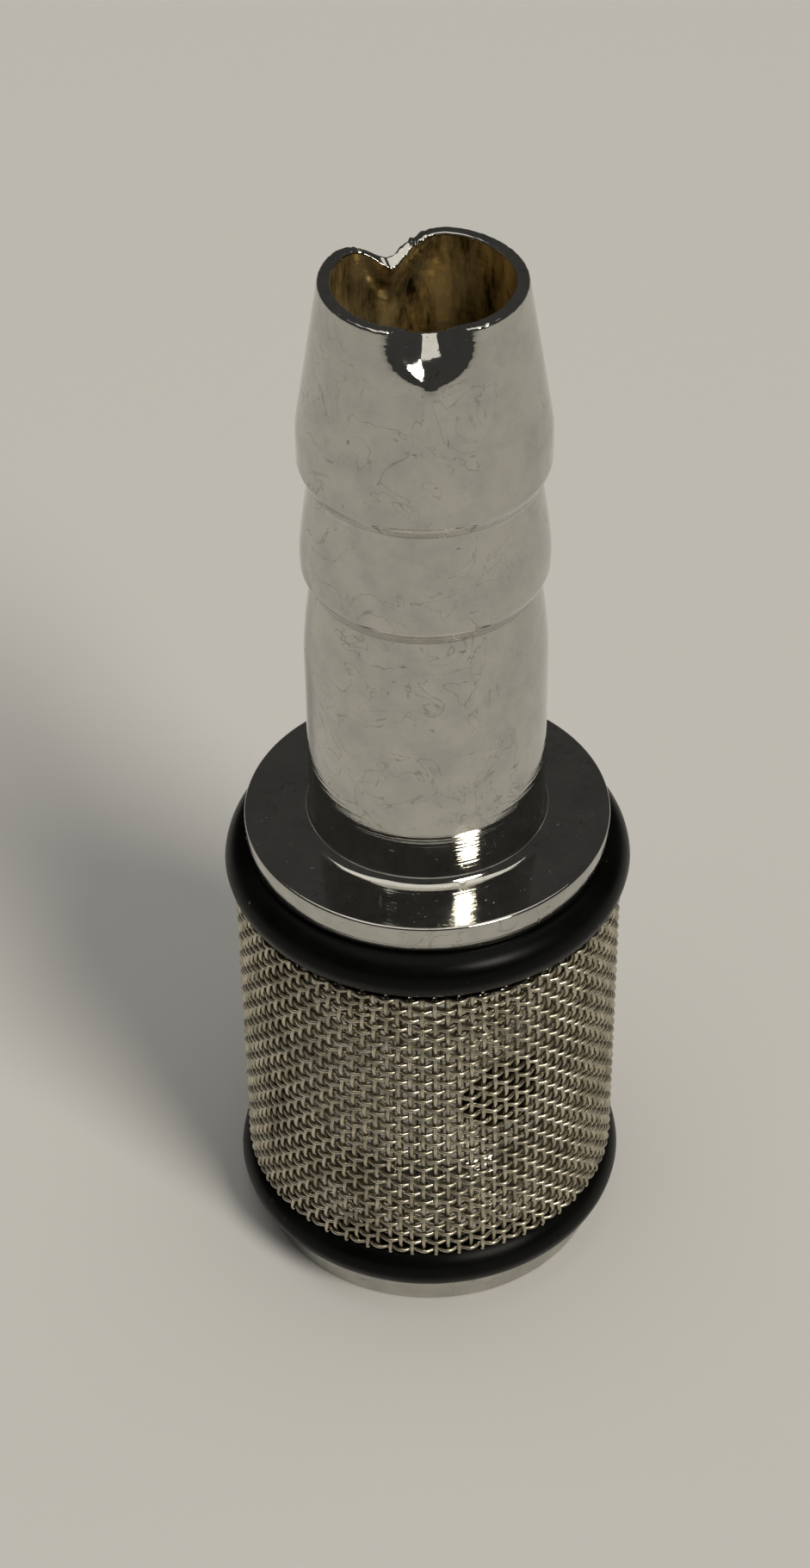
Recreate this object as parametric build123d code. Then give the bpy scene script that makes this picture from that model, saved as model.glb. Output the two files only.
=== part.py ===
from build123d import *
import os
from math import cos, radians, sin, sqrt, tan

# A barbed hose tail and a strainer barrel turned from one bar, with a woven wire screen held
# between two O-rings and a free check ball in the tail. Millimetres, +Z up the axis, the origin
# at the centre of the flat lower face, and -Y the front.

# Turned body: lower end
bar_radius = 8.5
flange_thickness = 1.4
barrel_length = 25.0
edge_chamfer = 0.15
groove_width = 3.0
groove_root_radius = 6.95
land_width = 2.8
waist_radius = 7.2
neck_fillet = 0.55

# Turned body: hose tail, heights counted from the upper flange
tail_length = 28.3
stem_radius = 5.45
tip_radius = 4.35
crest_radius = 5.47
valley_radius = 5.03
barb_pitch = 5.44
first_crest_height = 19.7
first_land = 1.68
second_land = 0.9
barb_back = 0.9
third_crest_height = 9.5
third_middle_radius = 5.31
third_middle_height = 11.35

# Bores
mouth_bore_radius = 3.8
passage_radius = 2.0
seat_height = 39.0
passage_floor = 9.6
drill_half_angle = 59.0
cross_hole_radius = 2.2
cross_hole_height = 12.3
cross_hole_azimuth = 30.0
cutter_overrun = 1.0

# Crimps punched into the mouth, azimuths counted from the front towards +X
crimp_azimuths = (3.5, 202.4)
punch_radius = 1.68
punch_offset = 4.5
punch_depth = 0.64
wall_thickness = 0.55

# O-rings, 14 x 2.5 mm
ring_section_radius = 1.25
ring_inner_radius = 7.0
ring_gap = 0.05

# Wire screen
warp_count = 100
weft_count = 30
wire_radius = 0.1
screen_inner_radius = 8.72
screen_end_gap = 1.2
layer_gap = 0.01
seam_width = 2.0
seam_thickness = 0.12

# Check ball
ball_radius = 3.175
ball_clearance = 0.03

# Heights and radii that follow
tip_height = barrel_length + tail_length
lower_ring_height = flange_thickness + ring_gap + ring_section_radius
upper_ring_height = barrel_length - lower_ring_height
screen_bottom = lower_ring_height + screen_end_gap
screen_top = upper_ring_height - screen_end_gap
warp_circle_radius = screen_inner_radius + wire_radius
weft_circle_radius = warp_circle_radius + 2 * wire_radius + layer_gap
screen_outer_radius = weft_circle_radius + wire_radius
ball_rest_height = seat_height - passage_radius + sqrt(2) * (ball_radius + ball_clearance)


def turned(edges):
    """The solid swept by a closed outline of (radius, height) edges about the axis."""
    return revolve(Plane.XZ * make_face(edges), Axis.Z)


def barrel_points():
    """Outline points of the barrel, from the centre of the lower face to the neck fillet."""
    groove_top = flange_thickness + groove_width
    land_top = groove_top + land_width
    lower_half = [
        (0, 0),
        (bar_radius - edge_chamfer, 0),
        (bar_radius, edge_chamfer),
        (bar_radius, flange_thickness - edge_chamfer),
        (bar_radius - edge_chamfer, flange_thickness),
        (groove_root_radius, flange_thickness),
        (groove_root_radius, groove_top),
        (bar_radius - edge_chamfer, groove_top),
        (bar_radius, groove_top + edge_chamfer),
        (bar_radius, land_top),
        (waist_radius, land_top),
    ]
    upper_half = [(radius, barrel_length - height) for radius, height in reversed(lower_half)]
    return lower_half + upper_half[:-1] + [(stem_radius + neck_fillet, barrel_length)]


def tail_edges():
    """Outline edges of the hose tail, from the neck fillet up past three barbs to the tip's rim."""
    first_crest = barrel_length + first_crest_height
    second_crest = first_crest - barb_pitch
    third_crest = barrel_length + third_crest_height
    fillet_start = (stem_radius + neck_fillet, barrel_length)
    fillet_end = (stem_radius, barrel_length + neck_fillet)
    third_top = (stem_radius, third_crest)
    third_middle = (third_middle_radius, barrel_length + third_middle_height)
    second_valley = (valley_radius, second_crest - barb_back)
    upper_barbs = [
        second_valley,
        (crest_radius, second_crest),
        (crest_radius, second_crest + second_land),
        (valley_radius, first_crest - barb_back),
        (crest_radius, first_crest),
        (crest_radius, first_crest + first_land),
        (tip_radius, tip_height),
        (0, tip_height),
        (0, 0),
    ]
    lower_edges = [
        TangentArc(fillet_start, fillet_end, tangent=(-1, 0)),
        Line(fillet_end, third_top),
        ThreePointArc(third_top, third_middle, second_valley),
    ]
    return lower_edges + list(Polyline(*upper_barbs).edges())


def bore_tool():
    """What is drilled out of the tail: mouth bore, 45 degree ball seat and drilled passage."""
    drill_tip = passage_floor - passage_radius / tan(radians(drill_half_angle))
    seat_top = seat_height + mouth_bore_radius - passage_radius
    cutter_top = tip_height + cutter_overrun
    outline = Polyline(
        (0, drill_tip),
        (passage_radius, passage_floor),
        (passage_radius, seat_height),
        (mouth_bore_radius, seat_top),
        (mouth_bore_radius, cutter_top),
        (0, cutter_top),
        close=True,
    )
    return turned(outline)


def around(azimuth, distance, height):
    """A place at a distance from the axis, its azimuth in degrees from -Y towards +X."""
    angle = radians(azimuth)
    return Location((distance * sin(angle), -distance * cos(angle), height))


def crimped(body, envelope):
    """The body with its mouth punched in, so that the wall bulges into the bore."""
    for azimuth in crimp_azimuths:
        centre = around(azimuth, punch_offset, tip_height - punch_depth)
        bulge = centre * Sphere(punch_radius + wall_thickness)
        body = body + (bulge & envelope) - centre * Sphere(punch_radius)
    return body


def turned_body():
    """Hose tail, flanges, O-ring grooves and barrel in one turned piece."""
    envelope = turned(Polyline(*barrel_points()).edges() + tail_edges())
    cross_drill = Cylinder(cross_hole_radius, 2 * (bar_radius + cutter_overrun), rotation=(90, 0, 0))
    cross_place = Location((0, 0, cross_hole_height), (0, 0, cross_hole_azimuth))
    drilled = envelope - bore_tool() - cross_place * cross_drill
    return crimped(drilled, envelope)


def o_ring(height):
    """One O-ring in its groove."""
    centre_radius = ring_inner_radius + ring_section_radius
    return Location((0, 0, height)) * Torus(centre_radius, ring_section_radius)


def warp_wires():
    """The wires that run up the screen, half a step off the front so that none is doubled."""
    length = screen_top - screen_bottom
    wire = Cylinder(wire_radius, length)
    middle = (screen_top + screen_bottom) / 2
    step = 360 / warp_count
    return [around((index + 0.5) * step, warp_circle_radius, middle) * wire for index in range(warp_count)]


def weft_wires():
    """The wires that run round the screen, as closed hoops of six-sided section."""
    first = screen_bottom + 2 * wire_radius
    last = screen_top - 2 * wire_radius
    step = (last - first) / (weft_count - 1)
    section = Plane.XZ * Location((weft_circle_radius, 0)) * RegularPolygon(wire_radius, 6)
    hoop = revolve(section, Axis.Z)
    return [Location((0, 0, first + index * step)) * hoop for index in range(weft_count)]


def seam():
    """The soldered strip that closes the rolled screen at the back."""
    inner = screen_outer_radius + layer_gap
    height = screen_top - screen_bottom
    shell = Cylinder(inner + seam_thickness, height) - Cylinder(inner, height)
    strip = shell & Location((0, inner, 0)) * Box(seam_width, seam_width, height)
    return Location((0, 0, (screen_top + screen_bottom) / 2)) * strip


def ball():
    """The check ball, resting on its seat."""
    return Location((0, 0, ball_rest_height)) * Sphere(ball_radius)


parts = {
    "hose_tail_body": turned_body(),
    "upper_o_ring": o_ring(upper_ring_height),
    "lower_o_ring": o_ring(lower_ring_height),
    "screen_warp_wires": Compound(children=warp_wires()),
    "screen_weft_wires": Compound(children=weft_wires()),
    "screen_seam": seam(),
    "check_ball": ball(),
}

os.makedirs("parts", exist_ok=True)
for name, part in parts.items():
    export_step(part, f"parts/{name}.step")
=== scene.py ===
import math

import bpy
import numpy as np
from mathutils import Matrix, Vector


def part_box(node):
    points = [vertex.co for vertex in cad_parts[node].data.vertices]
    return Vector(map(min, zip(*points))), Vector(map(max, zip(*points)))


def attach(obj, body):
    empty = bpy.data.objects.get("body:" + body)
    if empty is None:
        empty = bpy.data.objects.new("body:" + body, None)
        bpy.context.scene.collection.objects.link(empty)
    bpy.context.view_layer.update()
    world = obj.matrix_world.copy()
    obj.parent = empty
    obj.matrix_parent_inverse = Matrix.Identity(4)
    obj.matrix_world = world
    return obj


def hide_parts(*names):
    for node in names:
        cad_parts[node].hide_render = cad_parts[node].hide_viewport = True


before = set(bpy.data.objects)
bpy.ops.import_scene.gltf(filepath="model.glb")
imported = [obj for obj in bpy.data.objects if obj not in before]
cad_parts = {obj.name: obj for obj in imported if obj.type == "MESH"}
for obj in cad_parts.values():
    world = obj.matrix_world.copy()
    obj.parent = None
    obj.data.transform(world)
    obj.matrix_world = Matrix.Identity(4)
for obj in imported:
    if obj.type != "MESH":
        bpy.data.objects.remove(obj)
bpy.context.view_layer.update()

# Lengths are written in millimetres and turned into metres where a mesh is made.
MM = 0.001


def in_mm(corner):
    """A corner in metres as a numpy point in millimetres."""
    return np.array(corner) / MM


# ---------------------------------------------------------------- sizes, from the frame
_, body_high = map(in_mm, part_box("hose_tail_body"))
ring_low, ring_high = map(in_mm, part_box("lower_o_ring"))
upper_ring_low, upper_ring_high = map(in_mm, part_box("upper_o_ring"))
warp_low, warp_high = map(in_mm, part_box("screen_warp_wires"))
weft_low, weft_high = map(in_mm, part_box("screen_weft_wires"))
seam_low, seam_high = map(in_mm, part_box("screen_seam"))

bar_radius = body_high[0]
tip_height = body_high[2]
ring_section = (ring_high[2] - ring_low[2]) / 2
ring_circle = ring_high[0] - ring_section
lower_ring_height = (ring_low[2] + ring_high[2]) / 2
upper_ring_height = (upper_ring_low[2] + upper_ring_high[2]) / 2
barrel_length = lower_ring_height + upper_ring_height
screen_outer = weft_high[0]
screen_bottom, screen_top = warp_low[2], warp_high[2]

# ---------------------------------------------------------------- sizes, of the turned body
flange_thickness = 1.4
edge_round = 0.14
groove_width = 3.0
groove_root = 6.95
land_width = 2.8
waist_radius = 7.2
neck_fillet = 0.55
stem_radius = 5.45
tip_radius = 4.35
crest_radius = 5.47
valley_radius = 5.03
barb_pitch = 5.44
barb_edge = 0.16
first_crest = barrel_length + 19.7
first_land = 1.68
shoulder_round = 0.45
hump_land = 0.9
barb_swell = 0.035
barb_back = 0.9
third_crest = barrel_length + 9.5
third_middle_radius = 5.31
third_middle_height = 11.35
wall = 0.55
rim_round = 0.13
plated_rows = 6
mouth_bore = 3.8
passage_radius = 2.0
seat_height = 39.0
passage_floor = 9.6
relief_depth = 3.2
cross_hole_radius = 2.2
cross_hole_height = 12.3
cross_hole_azimuth = 30.0

# Crimps in the mouth: azimuth from the front towards +X, and how far each push leans off
# the radius, both in degrees; then push, half width, squareness and depth below the rim.
crimps = [(3.5, 0.0, 1.27, 1.24, 2.3, 2.05), (202.4, -12.9, 1.3, 1.36, 1.64, 3.0)]
crimp_drop = 0.6
crimp_roll = 0.3
crimp_toe = 0.12

# ---------------------------------------------------------------- sizes, of the screen
warp_count = 100
weft_count = 30
wire_radius = 0.1

# ---------------------------------------------------------------- sizes, of the studio
floor_half = 3000
room_brightness = 0.055
key_place, key_energy, key_spread = (0.30, -0.37, 0.45), 1.6, 20
top_place, top_energy, top_side = (0, 0, 0.60), 1.15, 0.60

# The camera: lens in mm, angles in degrees, and its distance and rise in bar radii.
lens = 73.33
pitch, yaw, roll = 40.604, 0.52, -0.76
camera_away, camera_rise = 13.163, 11.432


# ================================================================ mesh helpers
def new_object(name, points, faces, smooth_angle=None):
    """A mesh object in the scene from points in millimetres."""
    mesh = bpy.data.meshes.new(name)
    mesh.from_pydata([tuple(p) for p in np.asarray(points) * MM], [], faces)
    mesh.update()
    mesh.polygons.foreach_set("use_smooth", [True] * len(mesh.polygons))
    if smooth_angle:
        mesh.set_sharp_from_angle(angle=math.radians(smooth_angle))
    piece = bpy.data.objects.new(name, mesh)
    bpy.context.scene.collection.objects.link(piece)
    return piece


def straight(start, end, steps=1):
    """Profile points from start towards end, without the end point."""
    start, end = np.array(start, float), np.array(end, float)
    return [tuple(start + (end - start) * i / steps) for i in range(steps)]


def bulged(start, middle, end, steps):
    """Profile points on the parabola through three points, without the end point."""
    start, middle, end = (np.array(p, float) for p in (start, middle, end))
    handle = 2 * middle - (start + end) / 2
    points = []
    for i in range(steps):
        t = i / steps
        points.append(tuple(start * (1 - t) ** 2 + handle * 2 * t * (1 - t) + end * t * t))
    return points


def rounded(before, corner, after, radius, steps=4):
    """Profile points round a corner, between the two straight runs that meet there."""
    before, corner, after = (np.array(p, float) for p in (before, corner, after))
    to_start = (before - corner) / np.linalg.norm(before - corner)
    to_end = (after - corner) / np.linalg.norm(after - corner)
    start, end = corner + to_start * radius, corner + to_end * radius
    points = []
    for i in range(steps + 1):
        t = i / steps
        points.append(tuple(start * (1 - t) ** 2 + corner * 2 * t * (1 - t) + end * t * t))
    return points


def softened(points, radii, steps=4):
    """A profile whose inner corners are rounded by the given radii, 0 for a sharp one."""
    result = [points[0]]
    for before, corner, after, radius in zip(points, points[1:], points[2:], radii):
        result += rounded(before, corner, after, radius, steps) if radius else [corner]
    return result + [points[-1]]


def spun(profile, turn):
    """Points and faces of a profile spun to each azimuth; its two ends close on the axis."""
    segments = len(turn)
    inner = np.array(profile[1:-1])
    points = np.zeros((len(inner), segments, 3))
    points[..., 0] = inner[:, :1] * np.sin(turn)
    points[..., 1] = -inner[:, :1] * np.cos(turn)
    points[..., 2] = inner[:, 1:]
    points = points.reshape(-1, 3)
    faces = grid_faces(len(inner), segments, False, True)
    first, last = len(points), len(points) + 1
    points = np.vstack([points, (0, 0, profile[0][1]), (0, 0, profile[-1][1])])
    top = (len(inner) - 1) * segments
    for k in range(segments):
        after = (k + 1) % segments
        faces.append((first, after, k))
        faces.append((last, top + k, top + after))
    return points, faces


def grid_faces(rows, columns, close_rows, close_columns, start=0):
    """Quads over a grid of points, closed in either direction."""
    faces = []
    for i in range(rows if close_rows else rows - 1):
        for j in range(columns if close_columns else columns - 1):
            a, b = i * columns, (i + 1) % rows * columns
            after = (j + 1) % columns
            faces.append((start + a + j, start + a + after, start + b + after, start + b + j))
    return faces


# ================================================================ turned body
def barrel_profile():
    """Outer profile from the centre of the lower face to the neck fillet."""
    groove_top = flange_thickness + groove_width
    land_top = groove_top + land_width
    corners = [
        (0, 0),
        (bar_radius, 0),
        (bar_radius, flange_thickness),
        (groove_root, flange_thickness),
        (groove_root, groove_top),
        (bar_radius, groove_top),
        (bar_radius, land_top),
        (waist_radius, land_top),
    ]
    rounds = [edge_round, edge_round, 0.2, 0.2, edge_round, edge_round, 0.3]
    mirrored = [(radius, barrel_length - height) for radius, height in reversed(corners[1:])]
    neck = stem_radius + neck_fillet
    corners = corners + mirrored + [(neck, barrel_length)]
    rounds = rounds + list(reversed(rounds))
    return softened(corners, rounds)


def tail_profile():
    """Outer profile of the hose tail, from the neck fillet to the mouth's rim."""
    second_crest = first_crest - barb_pitch
    second_valley = (valley_radius, second_crest - barb_back)
    first_valley = (valley_radius, first_crest - barb_back)
    neck_end = (stem_radius, barrel_length + neck_fillet)
    reach = neck_fillet * (1 - math.sqrt(0.5))
    profile = bulged(
        (stem_radius + neck_fillet, barrel_length),
        (stem_radius + reach, barrel_length + reach),
        neck_end,
        12,
    )
    profile += straight(neck_end, (stem_radius, third_crest), 10)
    third_middle = (third_middle_radius, barrel_length + third_middle_height)
    profile += bulged((stem_radius, third_crest), third_middle, second_valley, 24)
    second_land = (crest_radius, second_crest + hump_land)
    profile += barb_foot(second_valley, (crest_radius, second_crest), second_land)
    profile += waved(second_land, first_valley, barb_swell, 26)
    shoulder = (crest_radius, first_crest + first_land)
    rim_outer = (tip_radius, tip_height)
    rim_inner = (tip_radius - wall, tip_height)
    bend = rounded((crest_radius, first_crest), shoulder, rim_outer, shoulder_round, 8)
    profile += barb_foot(first_valley, (crest_radius, first_crest), bend[0]) + bend
    edge = rounded(shoulder, rim_outer, rim_inner, rim_round, 6)
    return profile + straight(bend[-1], edge[0], 64)[1:] + edge


def waved(start, end, swell, steps):
    """Profile points from start towards end, steeper halfway and easier at both ends."""
    (start_radius, start_height), (end_radius, end_height) = start, end
    points = []
    for i in range(steps):
        t = i / steps
        eased = t - swell * math.sin(2 * math.pi * t)
        radius = start_radius + (end_radius - start_radius) * eased
        points.append((radius, start_height + (end_height - start_height) * t))
    return points


def barb_foot(valley, corner, land_end):
    """Profile of a barb's undercut: valley, rounded lower edge and land."""
    edge = rounded(valley, corner, land_end, barb_edge, 6)
    return straight(valley, edge[0], 4) + edge + straight(edge[-1], land_end, 3)[1:]


def bore_profile():
    """Inner profile, from the rim down to the drilled floor of the passage."""
    rim_inner = (mouth_bore, tip_height)
    relief = tip_height - relief_depth
    seat_top = (mouth_bore - 0.08, seat_height + mouth_bore - 0.08 - passage_radius)
    edge = rounded((tip_radius, tip_height), rim_inner, (mouth_bore, relief), rim_round, 6)
    profile = edge + straight(edge[-1], (mouth_bore, relief), 50)[1:]
    profile += straight((mouth_bore, relief), (mouth_bore - 0.08, relief - 0.5), 2)
    profile += straight((mouth_bore - 0.08, relief - 0.5), seat_top, 12)
    profile += straight(seat_top, (passage_radius, seat_height), 6)
    profile += straight((passage_radius, seat_height), (passage_radius, passage_floor), 10)
    return profile + [(passage_radius, passage_floor), (0, passage_floor - passage_radius * 0.6)]


def crimp(points):
    """Pushes the mouth's wall in and its rim down where the two crimps were punched."""
    azimuth = np.degrees(np.arctan2(points[:, 0], -points[:, 1]))
    inside = np.clip((tip_radius - np.hypot(points[:, 0], points[:, 1])) / wall, 0, 1)
    moved = points.copy()
    for centre, lean, push, half_width, squareness, depth in crimps:
        along = tip_radius * np.radians((azimuth - centre + 180) % 360 - 180)
        below = (tip_height - points[:, 2]) / depth
        rise = crimp_toe * np.log1p(np.exp(np.clip((1 - below) / crimp_toe, -30, 30)))
        narrowing = np.sqrt(np.maximum(1 - below**2, 0) + 0.08)
        share = rise * np.exp(-np.abs(along / (half_width * narrowing)) ** squareness)
        direction = math.radians(centre + lean)
        moved[:, 0] -= push * share * math.sin(direction)
        moved[:, 1] += push * share * math.cos(direction)
        moved[:, 2] -= (crimp_drop + crimp_roll * inside) * share**1.3
    return moved


def worn(points):
    """Small dents and burrs all round the rim."""
    turn = np.arctan2(points[:, 0], -points[:, 1])
    near = np.exp(-(((tip_height - points[:, 2]) / 0.16) ** 2)) * (np.hypot(points[:, 0], points[:, 1]) > 1)
    rng = np.random.default_rng(9)
    waves = sum(np.sin(count * turn + rng.uniform(0, 6.28)) for count in (31, 47, 64, 83, 101))
    return points + np.outer(near * waves * 0.006, (0, 0, 1)) - np.outer(near * 0.012, (0, 0, 1))


def crumple(points):
    """Roughens the plating on one lip of the rear crimp, where the folded wall has cracked."""
    lip = math.radians(crimps[1][0] - 13)
    centre = np.array([3.5 * math.sin(lip), -3.5 * math.cos(lip), tip_height - 0.4])
    near = np.exp(-((np.linalg.norm(points - centre, axis=1) / 0.75) ** 2))
    waves = np.zeros(len(points))
    rng = np.random.default_rng(7)
    for _ in range(7):
        wave = rng.normal(0, 1, 3)
        waves += np.sin(points @ (wave / np.linalg.norm(wave)) * rng.uniform(12, 26) + rng.uniform(0, 6.28))
    radius = np.maximum(np.hypot(points[:, 0], points[:, 1]), 0.1)
    points = points.copy()
    points[:, 0] += 0.045 * near * waves * points[:, 0] / radius
    points[:, 1] += 0.045 * near * waves * points[:, 1] / radius
    points[:, 2] += 0.015 * near * waves
    return points


def cut(piece, tool):
    """Takes the tool out of the piece for good."""
    modifier = piece.modifiers.new("cut", "BOOLEAN")
    modifier.operation = "DIFFERENCE"
    modifier.solver = "EXACT"
    modifier.object = tool
    evaluated = piece.evaluated_get(bpy.context.evaluated_depsgraph_get())
    mesh = bpy.data.meshes.new_from_object(evaluated)
    piece.modifiers.clear()
    piece.data = mesh
    bpy.data.objects.remove(tool)
    return piece


def cross_drill():
    """The drill that makes the two opposite holes in the waist."""
    segments = 64
    turn = np.arange(segments) * 2 * math.pi / segments
    side = math.radians(cross_hole_azimuth)
    along = np.array([math.sin(side), -math.cos(side), 0])
    across = np.array([math.cos(side), math.sin(side), 0])
    centre = np.array([0, 0, cross_hole_height])
    circle = cross_hole_radius * (np.outer(np.cos(turn), across) + np.outer(np.sin(turn), (0, 0, 1)))
    reach = waist_radius + 0.8
    points = np.vstack([centre + circle - along * reach, centre + circle + along * reach])
    faces = grid_faces(2, segments, False, True)
    faces += [tuple(reversed(range(segments))), tuple(range(segments, 2 * segments))]
    piece = new_object("cross_drill", points, faces)
    piece.data.materials.append(chrome)
    piece.data.materials.append(bore_brass)
    piece.data.polygons.foreach_set("material_index", [1] * len(faces))
    return piece


def body_azimuths():
    """Azimuths of the turned body's facets, closer together across the crimps."""
    coarse, fine = math.radians(2.4), math.radians(0.7)
    turn = [0.0]
    while turn[-1] < 2 * math.pi - coarse:
        degrees = math.degrees(turn[-1])
        near = any(abs((degrees - centre + 180) % 360 - 180) < 34 for centre, *_ in crimps)
        turn.append(turn[-1] + (fine if near else coarse))
    return np.array(turn) * (2 * math.pi / (turn[-1] + fine))


def turned_body():
    """Hose tail, flanges, grooves, barrel and bores as one turned and crimped piece."""
    outer = barrel_profile()[:-1] + tail_profile()
    inner = bore_profile()
    turn = body_azimuths()
    points, faces = spun(outer + inner[1:], turn)
    inner_start = (len(outer) - 2 + plated_rows) * len(turn)
    inner_face = [min(face) >= inner_start and len(points) - 2 not in face for face in faces]
    piece = new_object("turned_body", crumple(crimp(worn(points))), faces)
    piece.data.materials.append(chrome)
    piece.data.materials.append(bore_brass)
    piece.data.polygons.foreach_set("material_index", [int(flag) for flag in inner_face])
    cut(piece, cross_drill())
    piece.data.polygons.foreach_set("use_smooth", [True] * len(piece.data.polygons))
    piece.data.set_sharp_from_angle(angle=math.radians(32))
    return piece


# ================================================================ O-rings
def o_ring(name, height, seed):
    """A moulded O-ring with its faint parting line and the slight waviness of soft rubber."""
    around, section = 240, 40
    turn = np.arange(around) * 2 * math.pi / around
    angle = np.arange(section) * 2 * math.pi / section
    phase = np.random.default_rng(seed).uniform(0, 2 * math.pi, 3)
    wave = sum(0.012 * np.sin((k + 2) * turn + phase[k]) for k in range(3))
    flash = 0.02 * np.exp(-((np.sin(angle) / 0.06) ** 2)) * (np.cos(angle) > 0)
    radius = ring_section - 0.02 + flash
    out = ring_circle + radius * np.cos(angle)
    points = np.zeros((around, section, 3))
    points[..., 0] = np.outer(np.sin(turn), out)
    points[..., 1] = -np.outer(np.cos(turn), out)
    points[..., 2] = height + radius * np.sin(angle) + wave[:, None]
    faces = grid_faces(around, section, True, True)
    piece = new_object(name, points.reshape(-1, 3), faces)
    piece.data.materials.append(rubber)
    return piece


# ================================================================ woven screen
weave_radius = screen_outer - 2 * wire_radius
weft_first = weft_low[2] + wire_radius
weft_step = (weft_high[2] - wire_radius - weft_first) / (weft_count - 1)
warp_step = 2 * math.pi / warp_count
wire_sides = 8
samples_per_crossing = 4


def warp_wires():
    """The wires up the screen, each passing over and under the weft."""
    rng = np.random.default_rng(11)
    angle = np.arange(wire_sides) * 2 * math.pi / wire_sides
    count = weft_count * samples_per_crossing - 2
    height = np.linspace(screen_bottom, screen_top, count)
    crossing = (height - weft_first) / weft_step
    points, faces = [], []
    for index in range(warp_count):
        turn = (index + 0.5) * warp_step
        lean = rng.normal(0, 0.018) + rng.normal(0, 0.012) * np.sin(crossing * 0.35 + index)
        swing = wire_radius * np.cos(math.pi * (crossing + index))
        slope = -wire_radius * math.pi / weft_step * np.sin(math.pi * (crossing + index))
        tilt = np.hypot(slope, 1)
        out = np.outer(1 / tilt, np.cos(angle)) * wire_radius
        up = np.outer(-slope / tilt, np.cos(angle)) * wire_radius
        side = wire_radius * np.sin(angle)[None, :] + (lean * np.ones(count))[:, None]
        radius = weave_radius + swing[:, None] + out
        x = radius * math.sin(turn) + side * math.cos(turn)
        y = -radius * math.cos(turn) + side * math.sin(turn)
        z = height[:, None] + up
        start = len(points) * count * wire_sides
        points.append(np.stack([x, y, z], -1).reshape(-1, 3))
        faces += grid_faces(count, wire_sides, False, True, start)
        faces.append(tuple(start + k for k in range(wire_sides)))
        last = start + (count - 1) * wire_sides
        faces.append(tuple(last + k for k in reversed(range(wire_sides))))
    piece = new_object("woven_warp_wires", np.vstack(points), faces)
    piece.data.materials.append(wire_steel)
    return piece


def weft_wires():
    """The wires round the screen, each passing under and over the warp."""
    rng = np.random.default_rng(12)
    angle = np.arange(wire_sides) * 2 * math.pi / wire_sides
    count = warp_count * samples_per_crossing
    turn = np.arange(count) * 2 * math.pi / count
    crossing = turn / warp_step - 0.5
    points, faces = [], []
    for index in range(weft_count):
        lift = rng.normal(0, 0.012) + 0.02 * np.sin(2 * turn + rng.uniform(0, 6.28))
        swing = -wire_radius * np.cos(math.pi * (crossing + index))
        slope = wire_radius * math.pi / (warp_step * weave_radius) * np.sin(math.pi * (crossing + index))
        tilt = np.hypot(slope, 1)
        out = np.outer(1 / tilt, np.cos(angle)) * wire_radius
        along = np.outer(-slope / tilt, np.cos(angle)) * wire_radius
        radius = weave_radius + swing[:, None] + out
        x = radius * np.sin(turn)[:, None] + along * np.cos(turn)[:, None]
        y = -radius * np.cos(turn)[:, None] + along * np.sin(turn)[:, None]
        z = (weft_first + index * weft_step + lift)[:, None] + wire_radius * np.sin(angle)[None, :]
        start = len(points) * count * wire_sides
        points.append(np.stack([x, y, z], -1).reshape(-1, 3))
        faces += grid_faces(count, wire_sides, True, True, start)
    piece = new_object("woven_weft_wires", np.vstack(points), faces)
    piece.data.materials.append(wire_steel)
    return piece


def solder_seam():
    """The solder that closes the rolled screen: a low, lumpy strip over the wires."""
    rng = np.random.default_rng(5)
    rows, columns = 120, 17
    width = seam_high[0] - seam_low[0]
    across = np.linspace(-1, 1, columns)
    height = np.linspace(screen_bottom + 0.05, screen_top - 0.05, rows)
    wander = np.cumsum(rng.normal(0, 0.02, (rows, 2)), axis=0) * 0.3
    wander = wander - wander.mean(0)
    crown = np.sqrt(np.maximum(1 - across**2, 0))
    lumps = 0.015 * np.sin(height * 2.1 + 1) + 0.012 * np.sin(height * 5.3) + 0.01 * np.sin(height * 11)
    half = width / 2 * (0.86 + 0.5 * wander[:, 0] + lumps)
    side = half[:, None] * across[None, :] + 0.3 * wander[:, 1:]
    low, high = screen_outer - 0.06, seam_high[1] - 0.01
    thick = (high - low) * crown[None, :] * (0.8 + 3 * lumps[:, None])
    points = []
    for radius in (low + thick, np.full_like(thick, low - 0.1)):
        turn = math.pi + side / screen_outer
        up = np.repeat(height[:, None], columns, 1)
        points.append(np.stack([radius * np.sin(turn), -radius * np.cos(turn), up], -1))
    front, back = points
    ring = np.concatenate([front, back[:, ::-1]], axis=1)
    faces = [face[::-1] for face in grid_faces(rows, 2 * columns, False, True)]
    faces.append(tuple(range(2 * columns)))
    faces.append(tuple(reversed(range((rows - 1) * 2 * columns, rows * 2 * columns))))
    piece = new_object("solder_seam", ring.reshape(-1, 3), faces, 50)
    piece.data.materials.append(solder)
    return piece


# ================================================================ materials
def material(name):
    """A new node material with its tree, its links and its shader."""
    made = bpy.data.materials.new(name)
    made.use_nodes = True
    tree = made.node_tree
    shader = tree.nodes["Principled BSDF"]
    return made, tree, shader


def node(tree, kind, **settings):
    """A node with its settings and, by name, its input values."""
    made = tree.nodes.new(kind)
    inputs = settings.pop("inputs", {})
    for key, value in settings.items():
        setattr(made, key, value)
    for key, value in inputs.items():
        made.inputs[key].default_value = value
    return made


def noise(tree, vector, scale, detail=4.0, roughness=0.55):
    """Fractal noise over the object's own coordinates."""
    made = node(tree, "ShaderNodeTexNoise", inputs={"Scale": scale, "Detail": detail, "Roughness": roughness})
    tree.links.new(vector, made.inputs["Vector"])
    return made.outputs["Fac"]


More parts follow.
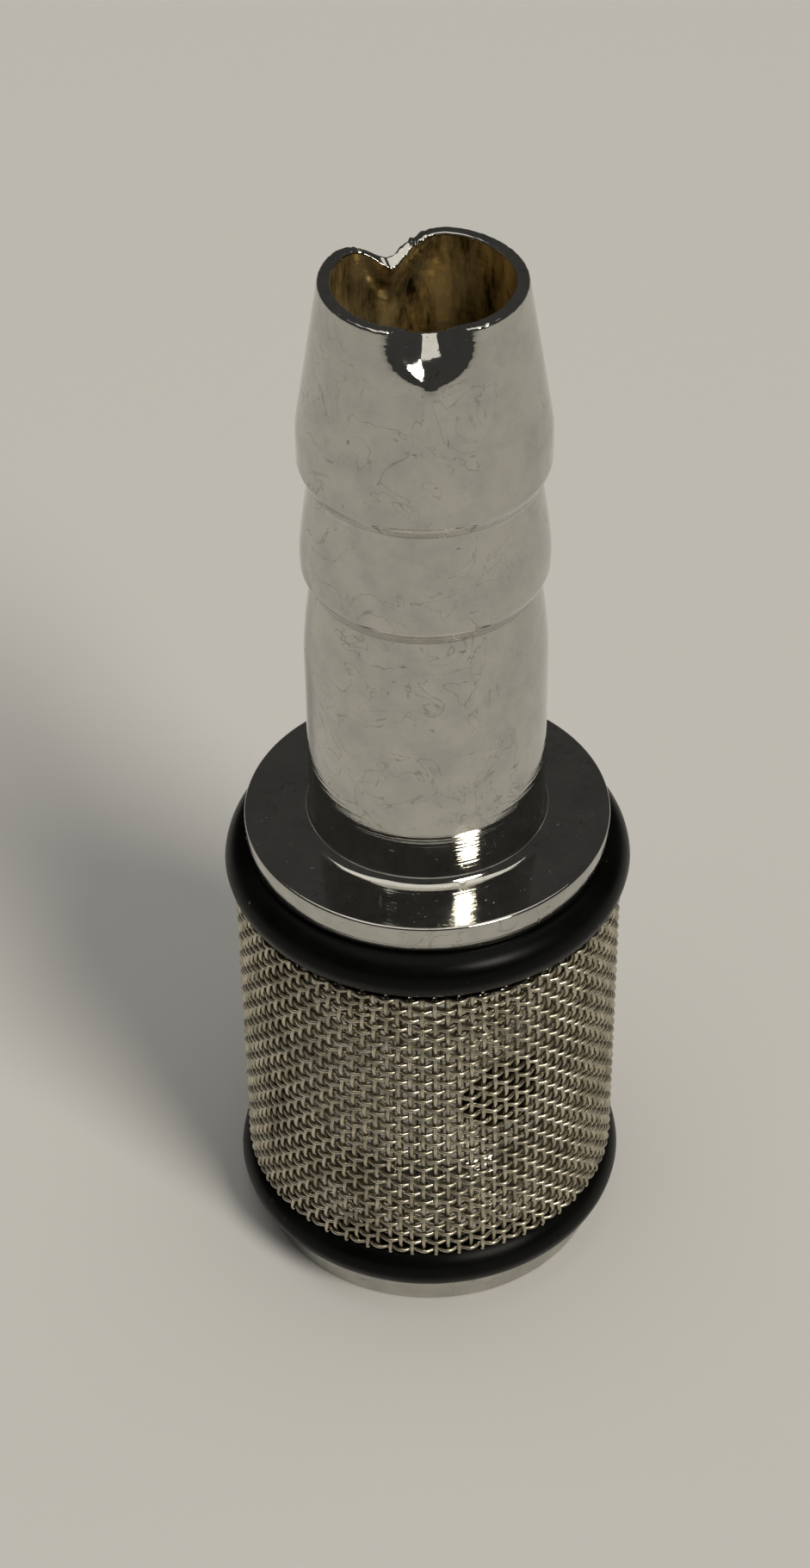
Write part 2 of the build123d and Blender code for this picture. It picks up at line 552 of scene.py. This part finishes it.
def ramp(tree, value, stops):
    """A colour ramp with the given (position, colour) stops."""
    made = tree.nodes.new("ShaderNodeValToRGB")
    elements = made.color_ramp.elements
    while len(elements) < len(stops):
        elements.new(0.5)
    for element, (position, colour) in zip(elements, stops):
        element.position = position
        element.color = (*colour, 1)
    tree.links.new(value, made.inputs["Fac"])
    return made.outputs["Color"]


def spread(tree, value, low, high, to_low, to_high):
    """A value mapped from one range to another."""
    made = node(tree, "ShaderNodeMapRange")
    for key, number in zip(("From Min", "From Max", "To Min", "To Max"), (low, high, to_low, to_high)):
        made.inputs[key].default_value = number
    tree.links.new(value, made.inputs["Value"])
    return made.outputs["Result"]


def calculated(tree, operation, first, second):
    """A maths node on two sockets or numbers."""
    made = node(tree, "ShaderNodeMath", operation=operation)
    for socket, value in zip(made.inputs, (first, second)):
        if isinstance(value, (int, float)):
            socket.default_value = value
        else:
            tree.links.new(value, socket)
    return made.outputs[0]


def mixed(tree, share, first, second):
    """Two colours mixed by a share."""
    made = node(tree, "ShaderNodeMix", data_type="RGBA")
    sockets = [s for s in made.inputs if s.type == "RGBA"]
    tree.links.new(share, made.inputs[0])
    for socket, value in zip(sockets, (first, second)):
        if isinstance(value, tuple):
            socket.default_value = (*value, 1)
        else:
            tree.links.new(value, socket)
    return next(s for s in made.outputs if s.type == "RGBA")


def place(tree):
    """The object's own coordinates."""
    return tree.nodes.new("ShaderNodeTexCoord").outputs["Object"]


def height_of(tree, source):
    """How far up the object a point lies."""
    split = tree.nodes.new("ShaderNodeSeparateXYZ")
    tree.links.new(source, split.inputs["Vector"])
    return split.outputs["Z"]


def bumped(tree, shader, height, distance, strength=1.0, under=None):
    """Adds a bump to the shader, over another bump if one is given."""
    made = node(tree, "ShaderNodeBump", inputs={"Distance": distance, "Strength": strength})
    tree.links.new(height, made.inputs["Height"])
    if under:
        tree.links.new(under, made.inputs["Normal"])
    tree.links.new(made.outputs["Normal"], shader.inputs["Normal"])
    return made.outputs["Normal"]


def turning_marks(tree, along, fineness, detail=2.0):
    """Noise along a lathe tool's path alone: the fine rings that turning leaves."""
    settings = {"Scale": fineness, "Detail": detail}
    made = node(tree, "ShaderNodeTexNoise", noise_dimensions="1D", inputs=settings)
    tree.links.new(along, made.inputs["W"])
    return made.outputs["Fac"]


def stretched(tree, source, scale):
    """Coordinates stretched by a different amount along each axis."""
    made = node(tree, "ShaderNodeMapping", inputs={"Scale": scale})
    tree.links.new(source, made.inputs["Vector"])
    return made.outputs["Vector"]


def drying_stains(tree, source):
    """Thin curly outlines, 1 where a drop of oil has dried."""
    wander = node(tree, "ShaderNodeTexNoise", inputs={"Scale": 400.0, "Detail": 3.0, "Distortion": 1.8})
    tree.links.new(source, wander.inputs["Vector"])
    offset = calculated(tree, "SUBTRACT", wander.outputs["Fac"], 0.53)
    line = spread(tree, calculated(tree, "ABSOLUTE", offset, 0.0), 0.0, 0.014, 1.0, 0.0)
    patches = spread(tree, noise(tree, source, 190.0, 2.0), 0.42, 0.52, 0.0, 1.0)
    return calculated(tree, "MULTIPLY", line, patches)


def nicks(tree, source):
    """Short thin scratches that run all ways, 1 on a scratch."""
    marks = None
    for scale in ((3400.0, 500.0, 900.0), (620.0, 2900.0, 760.0), (900.0, 700.0, 3800.0)):
        streak = spread(tree, noise(tree, stretched(tree, source, scale), 1.0, 2.0), 0.735, 0.775, 0.0, 1.0)
        marks = calculated(tree, "MAXIMUM", marks, streak) if marks else streak
    return marks


def chrome_plate():
    """Bright chrome over turned brass: tool rings, cloudy smudges, stains and a few nicks."""
    made, tree, shader = material("chrome_plate")
    source = place(tree)
    z = height_of(tree, source)
    shader.inputs["Metallic"].default_value = 1.0
    cloud = noise(tree, source, 620.0, 6.0, 0.66)
    smudge = noise(tree, source, 170.0, 3.0)
    stain = drying_stains(tree, source)
    scratch = nicks(tree, source)
    dust = spread(tree, noise(tree, source, 4300.0, 1.0), 0.755, 0.80, 0.0, 0.3)
    tint = ramp(tree, cloud, [(0.36, (0.485, 0.475, 0.44)), (0.60, (0.57, 0.555, 0.51))])
    tint = mixed(tree, calculated(tree, "MULTIPLY", stain, 0.7), tint, (0.29, 0.275, 0.235))
    tint = mixed(tree, calculated(tree, "MULTIPLY", scratch, 0.6), tint, (0.20, 0.19, 0.17))
    tree.links.new(tint, shader.inputs["Base Color"])
    haze = spread(tree, smudge, 0.35, 0.7, 0.035, 0.085)
    haze = calculated(tree, "ADD", haze, spread(tree, cloud, 0.5, 0.8, 0.0, 0.09))
    haze = calculated(tree, "ADD", haze, calculated(tree, "MULTIPLY", scratch, 0.2))
    haze = calculated(tree, "ADD", haze, dust)
    tree.links.new(haze, shader.inputs["Roughness"])
    depth = spread(tree, z, 0.0458, 0.0466, 1.0, 0.5)
    coarse = calculated(tree, "MULTIPLY", turning_marks(tree, z, 2200.0, 1.0), depth)
    fine = calculated(tree, "MULTIPLY", turning_marks(tree, z, 5600.0), depth)
    feed = bumped(tree, shader, coarse, 0.000009)
    fine = bumped(tree, shader, fine, 0.0000065, under=feed)
    peel = bumped(tree, shader, noise(tree, source, 1500.0, 3.0), 0.000005, under=fine)
    pits = spread(tree, noise(tree, source, 3000.0, 1.0), 0.76, 0.84, 0.0, -1.0)
    damage = calculated(tree, "SUBTRACT", pits, scratch)
    bumped(tree, shader, damage, 0.000004, under=peel)
    return made


def brass_bore():
    """The unplated bore: golden brass, drilled in rings, with brown stains, and darker deeper down, where
    painted shade is added to the stains.
    """
    made, tree, shader = material("bore_brass")
    source = place(tree)
    z = height_of(tree, source)
    shader.inputs["Metallic"].default_value = 0.82
    runs = noise(tree, stretched(tree, source, (900.0, 900.0, 260.0)), 1.0, 6.0, 0.66)
    # The height term makes the bore darker deeper down: painted shade in the recess, added to the brown stain
    # runs.
    stain = calculated(tree, "ADD", runs, spread(tree, z, 0.040, 0.053, -0.12, 0.035))
    brown, ochre, golden = (0.05, 0.034, 0.014), (0.46, 0.34, 0.14), (0.90, 0.70, 0.33)
    tint = ramp(tree, stain, [(0.38, brown), (0.48, ochre), (0.58, golden)])
    tree.links.new(tint, shader.inputs["Base Color"])
    tree.links.new(spread(tree, stain, 0.40, 0.60, 0.36, 0.15), shader.inputs["Roughness"])
    rings = bumped(tree, shader, turning_marks(tree, z, 3100.0), 0.000012)
    bumped(tree, shader, stain, 0.00003, under=rings)
    return made


def black_rubber():
    """Nitrile rubber: a low sheen in patches, fine grain and a few specks of dust."""
    made, tree, shader = material("black_rubber")
    source = place(tree)
    dust = noise(tree, source, 1900.0, 2.0)
    bloom = noise(tree, source, 240.0, 4.0)
    tint = ramp(tree, bloom, [(0.35, (0.0010, 0.0011, 0.0009)), (0.7, (0.0032, 0.0033, 0.0026))])
    tint = mixed(tree, spread(tree, dust, 0.745, 0.80, 0.0, 0.8), tint, (0.12, 0.115, 0.10))
    tree.links.new(tint, shader.inputs["Base Color"])
    shader.inputs["Specular IOR Level"].default_value = 0.09
    grain = noise(tree, source, 3600.0, 3.0)
    tree.links.new(spread(tree, bloom, 0.3, 0.7, 0.24, 0.40), shader.inputs["Roughness"])
    bumped(tree, shader, grain, 0.000005, 0.6)
    return made


def steel_wire():
    """Drawn stainless wire, slightly warm, with grime."""
    made, tree, shader = material("wire_steel")
    source = place(tree)
    grime = noise(tree, source, 900.0, 4.0)
    tint = ramp(tree, grime, [(0.3, (0.30, 0.27, 0.20)), (0.6, (0.60, 0.55, 0.44))])
    tree.links.new(tint, shader.inputs["Base Color"])
    shader.inputs["Metallic"].default_value = 1.0
    tree.links.new(spread(tree, grime, 0.3, 0.7, 0.34, 0.22), shader.inputs["Roughness"])
    return made


def soft_solder():
    """Grey solder with a frosted, lumpy skin."""
    made, tree, shader = material("solder")
    source = place(tree)
    frost = noise(tree, source, 1300.0, 5.0)
    tint = ramp(tree, frost, [(0.3, (0.33, 0.32, 0.30)), (0.7, (0.56, 0.55, 0.52))])
    tree.links.new(tint, shader.inputs["Base Color"])
    shader.inputs["Metallic"].default_value = 0.95
    tree.links.new(spread(tree, frost, 0.3, 0.7, 0.28, 0.46), shader.inputs["Roughness"])
    bumped(tree, shader, frost, 0.00002, 0.5)
    return made


def ball_steel():
    """A ground and polished steel ball with a faint haze."""
    made, tree, shader = material("ball_steel")
    source = place(tree)
    haze = noise(tree, source, 700.0, 4.0)
    tint = ramp(tree, haze, [(0.3, (0.62, 0.62, 0.61)), (0.7, (0.70, 0.70, 0.69))])
    tree.links.new(tint, shader.inputs["Base Color"])
    shader.inputs["Metallic"].default_value = 1.0
    tree.links.new(spread(tree, haze, 0.3, 0.7, 0.05, 0.14), shader.inputs["Roughness"])
    return made


# ================================================================ studio
def floor():
    """The plain pale floor."""
    made, _, shader = material("studio_floor")
    shader.inputs["Base Color"].default_value = (0.80, 0.795, 0.78, 1)
    shader.inputs["Roughness"].default_value = 0.9
    shader.inputs["Specular IOR Level"].default_value = 0.2
    half = floor_half
    corners = [(-half, -half, 0), (half, -half, 0), (half, half, 0), (-half, half, 0)]
    piece = new_object("studio_floor", corners, [(0, 1, 2, 3)])
    piece.data.materials.append(made)


def studio_world():
    """A plain dim room, the same in every direction and for every ray."""
    world = bpy.data.worlds.new("studio")
    bpy.context.scene.world = world
    world.use_nodes = True
    background = world.node_tree.nodes["Background"]
    background.inputs["Color"].default_value = (1.0, 0.99, 0.96, 1)
    background.inputs["Strength"].default_value = room_brightness


def placed_lamp(lamp, position):
    """A lamp in the scene, aimed at the part."""
    piece = bpy.data.objects.new(lamp.name, lamp)
    bpy.context.scene.collection.objects.link(piece)
    piece.location = position
    aim = Vector((0, 0, 0.02)) - piece.location
    piece.rotation_euler = aim.to_track_quat("-Z", "Y").to_euler()


def key_light():
    """A broad soft light on the front right, even over the whole floor."""
    lamp = bpy.data.lights.new("key_light", "SUN")
    lamp.energy = key_energy
    lamp.angle = math.radians(key_spread)
    lamp.color = (1.0, 0.95, 0.84)
    placed_lamp(lamp, key_place)


def top_light():
    """A square soft box overhead, which fills the shadows."""
    lamp = bpy.data.lights.new("top_light", "AREA")
    lamp.size = top_side
    lamp.energy = top_energy
    lamp.color = (1.0, 0.97, 0.90)
    placed_lamp(lamp, top_place)


def camera():
    """The viewpoint: close, in front and above, looking a little more than 40 degrees down."""
    data = bpy.data.cameras.new("camera")
    data.sensor_width = 36.0
    data.lens = lens
    data.clip_start, data.clip_end = 0.005, 20
    piece = bpy.data.objects.new("camera", data)
    bpy.context.scene.collection.objects.link(piece)
    turn = Matrix.Rotation(math.radians(yaw), 4, "Z")
    turn = turn @ Matrix.Rotation(math.radians(90 - pitch), 4, "X")
    turn = turn @ Matrix.Rotation(math.radians(roll), 4, "Z")
    away, above = camera_away * bar_radius, barrel_length + camera_rise * bar_radius
    piece.matrix_world = Matrix.Translation((0, -away * MM, above * MM)) @ turn
    bpy.context.scene.camera = piece


# ================================================================ the assembly
bpy.context.scene.view_settings.view_transform = "Standard"
chrome = chrome_plate()
bore_brass = brass_bore()
rubber = black_rubber()
wire_steel = steel_wire()
solder = soft_solder()

visuals = [
    (turned_body(), "hose_tail_body", "chrome_plate"),
    (o_ring("rubber_upper_ring", upper_ring_height, 3), "upper_o_ring", "black_rubber"),
    (o_ring("rubber_lower_ring", lower_ring_height, 4), "lower_o_ring", "black_rubber"),
    (warp_wires(), "screen_warp_wires", "screen_wire"),
    (weft_wires(), "screen_weft_wires", "screen_wire"),
    (solder_seam(), "screen_seam", "solder"),
]
for piece, cad_node, finish in visuals:
    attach(piece, "body")
    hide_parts(cad_node)

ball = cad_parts["check_ball"]
ball.data.materials.clear()
ball.data.materials.append(ball_steel())

floor()
studio_world()
key_light()
top_light()
camera()
